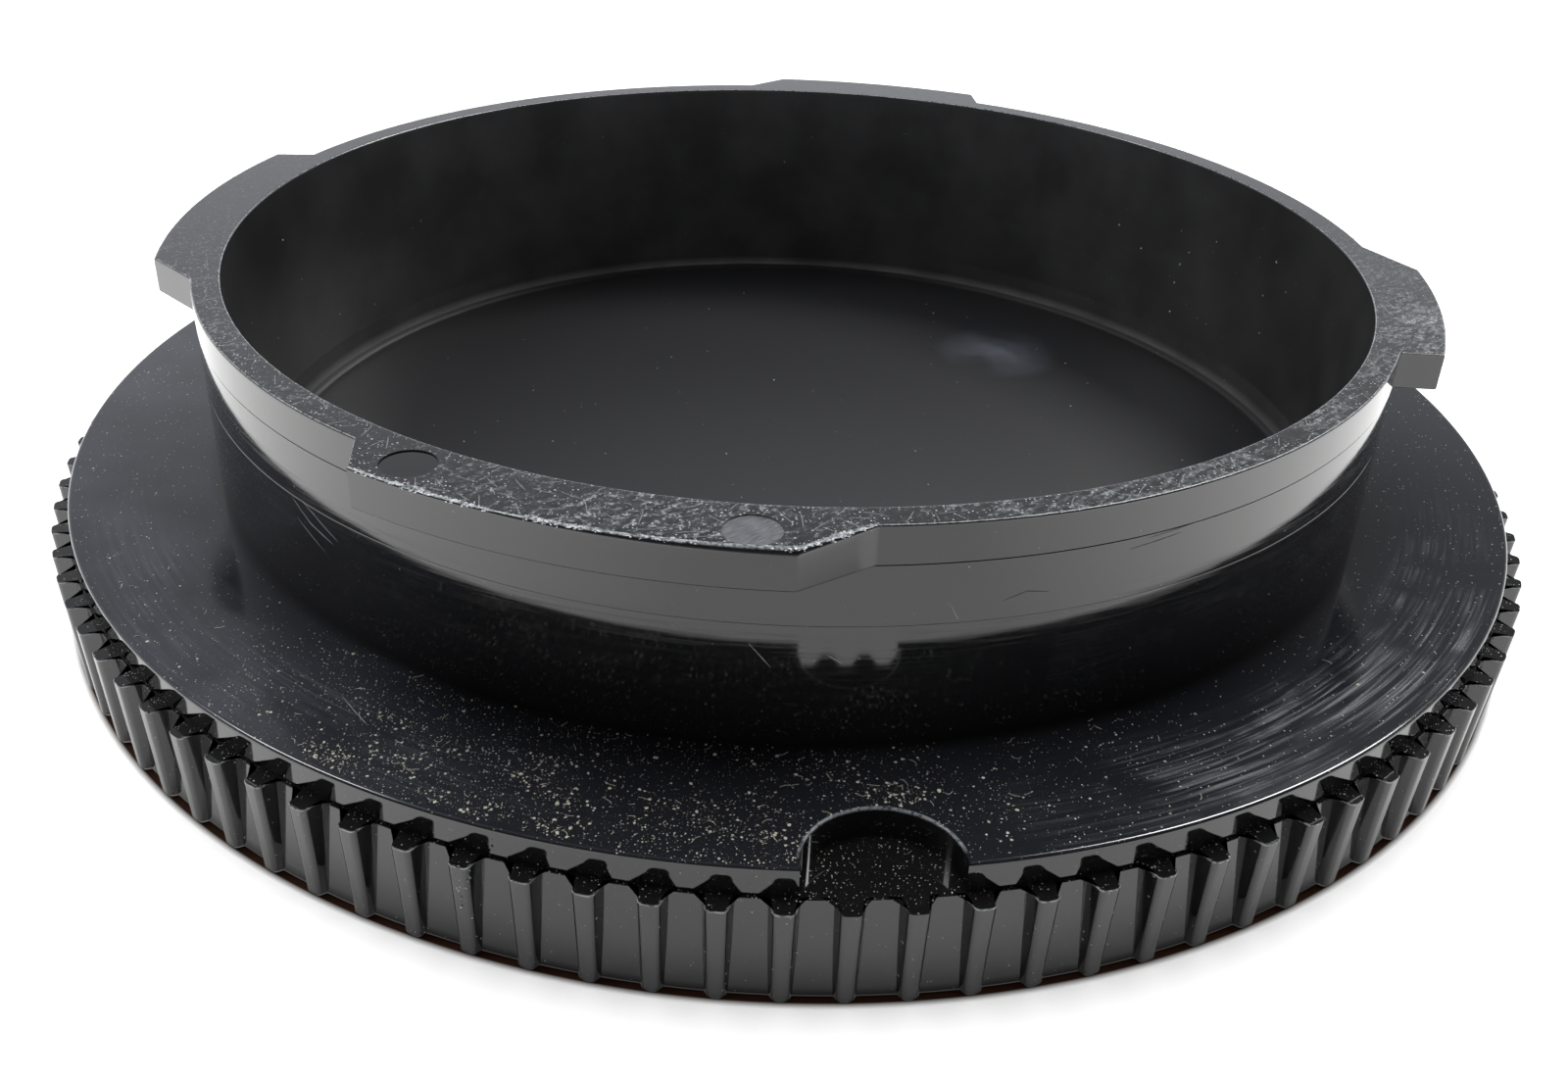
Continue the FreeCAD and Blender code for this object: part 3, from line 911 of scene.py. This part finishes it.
class CAP_OT_burr(bpy.types.Operator):
    """Adds the whitened burr that frays along the front lug's upper edge, and the struck rib's crumbs"""

    bl_idname = "body_cap.burr"
    bl_label = "Burr"

    def execute(self, context):
        s = context.scene.cap_sizes
        chance = random.Random(BURR_SEED)
        bm = bmesh.new()
        stop, ramp, _, spread = LUGS["front"]
        ragged = 0.0
        rails = []
        for index in range(BURR_STEPS + 1):
            degrees = stop + (ramp + spread - stop) * index / BURR_STEPS
            ragged = 0.72 * ragged + chance.gauss(0, 0.5)
            tear = sum(size * math.exp(-((degrees - place) / reach) ** 2) for place, size, reach in BURR_TEARS)
            # The strip's width, its crest above the edge and its hem below it. All three grow in a tear.
            width = (0.045 + tear * 0.12) * MM * (0.55 + 0.45 * abs(ragged))
            lift = (0.010 + tear * 0.045) * MM * (0.4 + abs(ragged))
            drop = tear * 0.09 * MM * max(0.0, 0.2 + ragged)
            inset = s.rim_round * bluntness(math.radians(degrees)) * 0.75
            inner = edge_point(s, degrees, inset + width)
            crest = edge_point(s, degrees, inset + width * 0.4) + Vector((0, 0, lift))
            outer = edge_point(s, degrees, inset - width * 0.35) - Vector((0, 0, 0.2 * inset + drop))
            rails.append([bm.verts.new(point) for point in (inner, crest, outer)])
        for a, b in zip(rails, rails[1:]):
            for row in range(2):
                bm.faces.new((a[row], a[row + 1], b[row + 1], b[row]))
        for place, size, reach in BURR_TEARS:
            for _ in range(int(60 * size * reach)):
                degrees = chance.gauss(place, reach * 0.6)
                if stop < degrees < ramp + spread:
                    start = edge_point(s, degrees, chance.gauss(0.06, 0.07) * MM)
                    if chance.random() < 0.12:
                        add_fibre(bm, chance, start, Vector((0, 0, 1)), chance.uniform(0.08, 0.25) * MM, 0.02 * MM)
                    else:
                        add_flake(bm, chance, start, Vector((0, 0, 1)), chance.uniform(0.03, 0.12) * MM)
        struck, height = STRUCK_RIB
        for _ in range(STRUCK_CRUMBS):
            degrees = struck + chance.gauss(0, 0.25)
            level = height - abs(chance.gauss(0, 0.5))
            out = on_cap(1, degrees, 0).normalized()
            start = on_cap(CAP_HIGH.x / MM - 0.05, degrees, min(level + 0.5, 3.58))
            add_flake(bm, chance, start, out, chance.uniform(0.03, 0.11) * MM)
        add_piece("torn_edges", bm, torn_material(context.scene.cap_colours))
        return {"FINISHED"}


class CAP_OT_dust(bpy.types.Operator):
    """Strews dust crumbs and lint over the seat, the notch and the grip"""

    bl_idname = "body_cap.dust"
    bl_label = "Dust"

    def execute(self, context):
        s = context.scene.cap_sizes
        chance = random.Random(DUST_SEED)
        up = Vector((0, 0, 1))
        bm = bmesh.new()
        seat_z = s.flange_height / MM
        inner, outer = s.collar_radius / MM + 0.2, s.flange_radius / MM - 0.25
        notch = notch_centre(s)
        clumps = [(outer - 3.2 * chance.random() ** 1.5, chance.uniform(-127, -86))
                  for _ in range(DUST_CLUMPS)]
        for _ in range(SEAT_CRUMBS):
            if chance.random() < 0.55:
                radius, degrees = clumps[int(len(clumps) * chance.random() ** 1.4)]
                radius += chance.gauss(0, 0.26)
                degrees += chance.gauss(0, 1.3)
            else:
                radius = chance.uniform(inner, outer)
                degrees = chance.gauss(-104, 20)
            point = on_cap(radius, degrees, seat_z)
            if not inner < radius < outer or (point.xy - notch.xy).length < s.notch_radius + 0.1 * MM:
                continue
            # Most crumbs are about 0.02 mm wide, and a few reach 0.14 mm.
            size = 0.018 + 0.125 * chance.random() ** 4
            if chance.random() < 0.05:
                add_fibre(bm, chance, point, up, chance.uniform(0.1, 0.4) * MM, 0.014 * MM)
            else:
                add_flake(bm, chance, point, up, size * MM)
        for _ in range(NOTCH_CRUMBS):
            turn = chance.uniform(0, FULL_TURN)
            reach = s.notch_radius * math.sqrt(chance.random()) * 0.92
            point = notch + Vector((math.cos(turn), math.sin(turn), 0)) * reach
            point.z = s.flange_height - s.band_height
            if point.xy.length < s.flange_radius:
                add_flake(bm, chance, point, up, chance.uniform(0.02, 0.06) * MM)
        for _ in range(WALL_CRUMBS):
            degrees = chance.choice((chance.gauss(163, 9), chance.gauss(22, 10), chance.uniform(0, 180)))
            point = on_cap((s.collar_radius - s.collar_wall) / MM, degrees, chance.uniform(4.5, 10.5))
            inwards = Vector((-point.x, -point.y, 0)).normalized()
            add_flake(bm, chance, point, inwards, chance.uniform(0.04, 0.16) * MM)
        for _ in range(FLOOR_CRUMBS):
            point = on_cap(20 * math.sqrt(chance.random()), chance.uniform(0, 360), s.floor_thickness / MM)
            add_flake(bm, chance, point, up, chance.uniform(0.03, 0.10) * MM)
        add_piece("dust_crumbs", bm, plain_material("house_dust", context.scene.cap_colours.dust, 0.9))
        return {"FINISHED"}


class CAP_OT_nicks(bpy.types.Operator):
    """Adds the single scratches and scuffs that the photograph shows"""

    bl_idname = "body_cap.nicks"
    bl_label = "Nicks"

    def execute(self, context):
        s = context.scene.cap_sizes
        c = context.scene.cap_colours
        chance = random.Random(NICK_SEED)
        for name, colour, nicks in (("pale_nicks", c.scratch, PALE_NICKS), ("dark_nicks", c.plastic, DARK_NICKS)):
            bm = bmesh.new()
            for width, ends in nicks:
                points, sides, widths = [], [], []
                for index in range(NICK_STEPS + 1):
                    share = index / NICK_STEPS * (len(ends) - 1)
                    at = min(int(share), len(ends) - 2)
                    radius, degrees, height = (a + (b - a) * (share - at) for a, b in zip(ends[at], ends[at + 1]))
                    points.append(on_cap(radius, degrees + chance.gauss(0, 0.02), height))
                    widths.append(width * MM * math.sin(math.pi * (0.08 + 0.84 * index / NICK_STEPS))
                                  * chance.uniform(0.5, 1.2))
                flat = max(height for _, _, height in ends) < s.flange_height / MM + 0.1
                for a, b in zip(points, points[1:]):
                    along = (b - a).normalized()
                    out = Vector((0, 0, 1)) if flat else Vector((a.x, a.y, 0)).normalized()
                    sides.append(along.cross(out).normalized())
                sides.append(sides[-1])
                add_ribbon(bm, points, sides, widths)
            add_piece(name, bm, plain_material(name, colour, 0.4))
        return {"FINISHED"}


# The stage


def table_material(c):
    """Smooth white paper with a little of its own light to the camera and the gloss, so that it shows white.
    It keeps the cap's shadow, with a brown shadow painted under the foot and a ring round it whose camera glow
    lifts that shadow, and it is dimmer in the gloss in front of the cap and behind it."""
    material, tree = new_material("white_table")
    path = add_node(tree, "ShaderNodeLightPath", {})
    place = add_node(tree, "ShaderNodeTexCoord", {})
    axes = add_node(tree, "ShaderNodeSeparateXYZ", {0: place.outputs["Object"]})
    aside = add_node(tree, "ShaderNodeMath", {"operation": "ABSOLUTE", 0: axes.outputs[0]})
    sides = add_node(tree, "ShaderNodeMapRange", {
        "Value": aside.outputs[0], "From Min": 12 * MM, "From Max": 42 * MM, "To Min": 0.12, "To Max": 1.0})
    flat = add_node(tree, "ShaderNodeCombineXYZ", {0: axes.outputs[0], 1: axes.outputs[1]}).outputs[0]
    away = add_node(tree, "ShaderNodeVectorMath", {"operation": "LENGTH", 0: flat}).outputs["Value"]
    # A brown shadow painted under the foot's bevel, a ring of 5 mm round it whose glow to the camera is painted
    # light that lifts the shadow, and pure white far off.
    foot = raised(away, CAP_HIGH.x - 0.01 * MM, CAP_HIGH.x - 0.25 * MM)
    ring = raised(away, CAP_HIGH.x + 5.0 * MM, CAP_HIGH.x + 0.1 * MM)
    far = raised(away, 60 * MM, 160 * MM)
    # The brown foot colour is a painted shadow.
    colour = painted(linear(c.table), c.foot, foot)
    # The ring's camera glow is painted light that lifts the shadow near the foot.
    lift = product(total(spread_of(sides.outputs[0], 0.12, 0.6), product(ring, 0.30), far),
                   raised(foot, 1.0, 0.0))
    seen = product(path.outputs["Is Camera Ray"], lift)
    glossy = product(path.outputs["Is Glossy Ray"], sides.outputs[0])
    glow = add_node(tree, "ShaderNodeMath", {"operation": "ADD", 0: seen, 1: glossy})
    shader = add_node(tree, "ShaderNodeBsdfPrincipled", {
        "Base Color": colour, "Roughness": 0.9, "Specular IOR Level": 0.2,
        "Emission Color": (1, 1, 1, 1), "Emission Strength": glow.outputs[0]})
    add_node(tree, "ShaderNodeOutputMaterial", {"Surface": shader.outputs[0]})
    return material


def room_world():
    """The room is white to the camera. In the gloss it is white paper just above the table behind the cap,
    dim further up, and dark towards the camera."""
    world = bpy.data.worlds.new("room")
    world.use_nodes = True
    tree = world.node_tree
    tree.nodes.clear()
    place = add_node(tree, "ShaderNodeTexCoord", {})
    axes = add_node(tree, "ShaderNodeSeparateXYZ", {0: place.outputs["Generated"]})
    angle = add_node(tree, "ShaderNodeMath", {"operation": "ARCSINE", 0: axes.outputs[2]})
    share = add_node(tree, "ShaderNodeMapRange", {
        "Value": angle.outputs[0], "From Min": 0.0, "From Max": math.pi / 2})
    ramps = []
    for levels in (ROOM_BEHIND, ROOM_IN_FRONT):
        ramp = add_node(tree, "ShaderNodeValToRGB", {0: share.outputs[0]})
        stops = ramp.color_ramp.elements
        for degrees, _ in levels[1:-1]:
            stops.new(degrees / 90)
        for stop, (degrees, grey) in zip(stops, levels):
            stop.color = [grey * tint for tint in ROOM_TINT] + [1]
        ramps.append(ramp.outputs[0])
    facing = add_node(tree, "ShaderNodeMapRange", {
        "Value": axes.outputs[1], "From Min": 0.15, "From Max": -0.35})
    sky = add_node(tree, "ShaderNodeMix", {
        "data_type": "RGBA", "Factor": facing.outputs[0], 6: ramps[0], 7: ramps[1]})
    right = add_node(tree, "ShaderNodeMapRange", {
        "Value": axes.outputs[0], "From Min": 0.2, "From Max": 0.45, "To Min": 1.0, "To Max": 0.4})
    high = add_node(tree, "ShaderNodeMapRange", {
        "Value": angle.outputs[0], "From Min": math.radians(14), "From Max": math.radians(26)})
    strength = add_node(tree, "ShaderNodeMix", {"Factor": high.outputs[0], 2: 1.0, 3: right.outputs[0]})
    path = add_node(tree, "ShaderNodeLightPath", {})
    seen = painted(sky.outputs[2], "#FFFFFF", path.outputs["Is Camera Ray"])
    level = add_node(tree, "ShaderNodeMath", {
        "operation": "MAXIMUM", 0: strength.outputs[0], 1: path.outputs["Is Camera Ray"]})
    shine = add_node(tree, "ShaderNodeBackground", {"Color": seen, "Strength": level.outputs[0]})
    add_node(tree, "ShaderNodeOutputWorld", {"Surface": shine.outputs[0]})
    return world


def add_camera():
    """The camera at the photograph's viewpoint, from the fit of its circles."""
    data = bpy.data.cameras.new("camera")
    data.sensor_width = SENSOR_WIDTH_MM
    data.lens = PHOTO_FOCAL_LENGTH / PHOTO_WIDTH * SENSOR_WIDTH_MM
    data.clip_start = 1 * MM
    data.clip_end = 10
    camera = linked("camera", data)
    heading, pitch, roll = (math.radians(degrees) for degrees in CAMERA_TURNS)
    place = Matrix.Translation(Vector(CAMERA_PLACE) * MM)
    turn = (Matrix.Rotation(heading, 4, "Z") @ Matrix.Rotation(math.pi / 2 - pitch, 4, "X")
            @ Matrix.Rotation(roll, 4, "Z"))
    camera.matrix_world = place @ turn
    bpy.context.scene.camera = camera


def add_lamp(name, azimuth, elevation, distance, size, power):
    """A square lamp that faces the cap, from a direction in degrees about the axis and above the table."""
    data = bpy.data.lights.new(name, "AREA")
    data.size = size
    data.energy = power
    lamp = linked(name, data)
    around, up = math.radians(azimuth), math.radians(elevation)
    away = Vector((math.cos(up) * math.cos(around), math.cos(up) * math.sin(around), math.sin(up)))
    lamp.location = away * distance
    lamp.rotation_euler = (-away).to_track_quat("-Z", "Y").to_euler()
    return lamp


class CAP_OT_stage(bpy.types.Operator):
    """Adds the table, the lamps, the surroundings and the camera"""

    bl_idname = "body_cap.stage"
    bl_label = "Stage"

    def execute(self, context):
        scene = context.scene
        bm = bmesh.new()
        bmesh.ops.create_grid(bm, x_segments=1, y_segments=1, size=TABLE_HALF_SIZE)
        table = linked("table", mesh_of("table", bm))
        table.data.materials.append(table_material(scene.cap_colours))
        overhead = add_lamp(*OVERHEAD)
        overhead.visible_glossy = False
        for row in GLINTS:
            glint = add_lamp(*row)
            glint.visible_diffuse = False
        scene.world = room_world()
        add_camera()
        scene.view_settings.view_transform = "Standard"
        return {"FINISHED"}


class CAP_PT_panel(bpy.types.Panel):
    """Lists the cap's sizes, colours and operators"""

    bl_label = "Body cap"
    bl_idname = "CAP_PT_panel"
    bl_space_type = "VIEW_3D"
    bl_region_type = "UI"
    bl_category = "Body cap"

    def draw(self, context):
        for group in (context.scene.cap_sizes, context.scene.cap_colours):
            box = self.layout.box()
            for name in group.bl_rna.properties.keys():
                if name not in ("rna_type", "name"):
                    box.prop(group, name)
        for operator in OPERATORS:
            self.layout.operator(operator.bl_idname)


OPERATORS = (CAP_OT_moulding, CAP_OT_burr, CAP_OT_dust, CAP_OT_nicks, CAP_OT_stage)
CLASSES = (CapSizes, CapColours, *OPERATORS, CAP_PT_panel)


def register():
    for cls in CLASSES:
        bpy.utils.register_class(cls)
    bpy.types.Scene.cap_sizes = bpy.props.PointerProperty(type=CapSizes)
    bpy.types.Scene.cap_colours = bpy.props.PointerProperty(type=CapColours)


def unregister():
    del bpy.types.Scene.cap_colours
    del bpy.types.Scene.cap_sizes
    for cls in reversed(CLASSES):
        bpy.utils.unregister_class(cls)


def main():
    register()
    bpy.ops.body_cap.moulding()
    bpy.ops.body_cap.burr()
    bpy.ops.body_cap.dust()
    bpy.ops.body_cap.nicks()
    bpy.ops.body_cap.stage()


if __name__ == "__main__":
    main()
